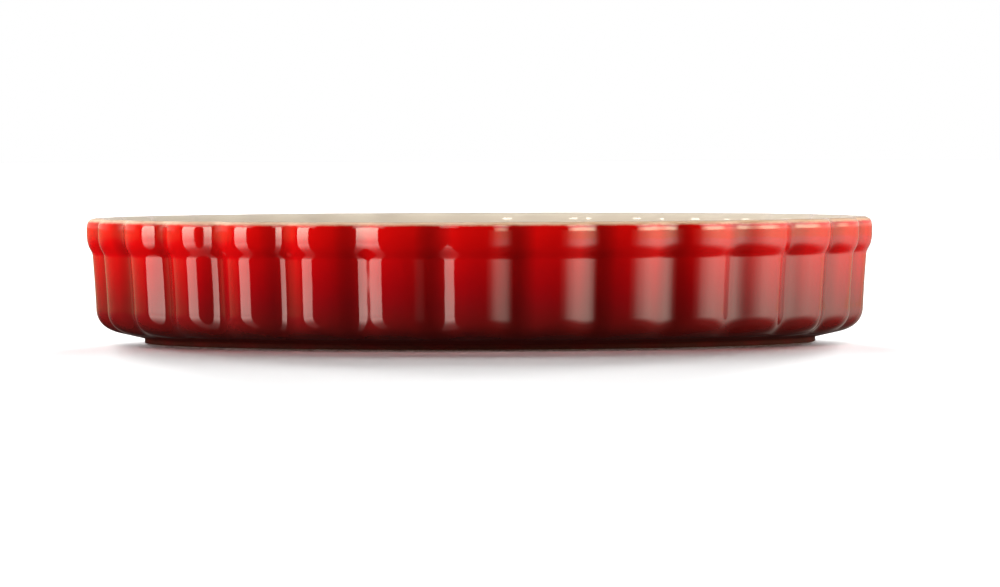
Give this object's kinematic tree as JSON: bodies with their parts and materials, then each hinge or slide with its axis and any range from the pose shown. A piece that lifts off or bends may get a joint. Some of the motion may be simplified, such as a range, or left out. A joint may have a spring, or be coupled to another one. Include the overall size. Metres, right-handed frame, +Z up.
{
  "type": "tart dish",
  "caption": "Shallow round baking dish with a fluted wall under a rounded rim band, glazed inside and out, standing on a low unglazed foot ring.",
  "frame": {"origin": "centre of the foot ring's seat, on the table", "axes": "+Z up along the axis of the dish; a flute crest faces -Y, the side that the picture shows"},
  "size_m": [0.2884, 0.29, 0.046],
  "materials": {
    "stoneware": "fired stoneware, bare and matt on the ground seat of the foot ring",
    "red_glaze": "gloss glaze shaded from orange-red at the rim to dark brown-red at the foot",
    "cream_glaze": "gloss cream glaze",
    "dark_glaze": "gloss glaze, dark brown-red"
  },
  "bodies": {
    "root": {"stoneware_body": "stoneware", "outer_glaze": "red_glaze", "inner_glaze": "cream_glaze", "base_glaze": "dark_glaze"}
  },
  "joints": []
}
